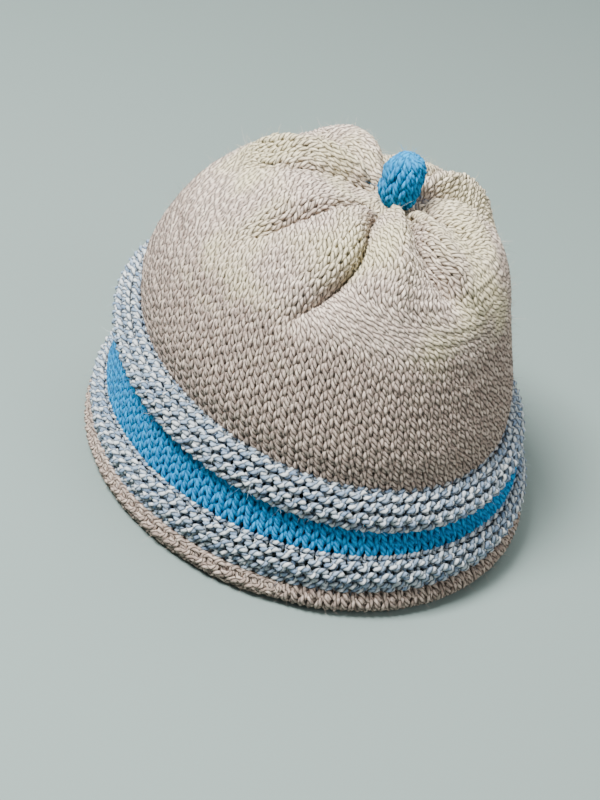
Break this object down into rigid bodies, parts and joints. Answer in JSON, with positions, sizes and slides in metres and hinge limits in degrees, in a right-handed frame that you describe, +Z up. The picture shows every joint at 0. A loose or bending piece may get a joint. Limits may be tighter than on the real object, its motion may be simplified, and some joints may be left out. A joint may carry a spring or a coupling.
{
  "type": "knitted beanie",
  "caption": "Knitted wool cap with a rolled hem, raised purl welts round a plain band, and a deep crown gathered into folds under a small knitted knob.",
  "frame": {"origin": "on the surface that the hem rests on, under the middle of the hat", "axes": "+Z up through the crown, -Y towards the wearer's front, +X towards the wearer's left"},
  "size_m": [0.1852, 0.1976, 0.1428],
  "materials": {
    "oatmeal_knit": "matte",
    "marl_knit": "matte",
    "turquoise_knit": "matte"
  },
  "bodies": {
    "root": {"rolled_hem": "oatmeal_knit", "lower_welt": "marl_knit", "plain_band": "turquoise_knit", "upper_welt": "marl_knit", "crown": "oatmeal_knit", "top_knob": "turquoise_knit"}
  },
  "joints": []
}
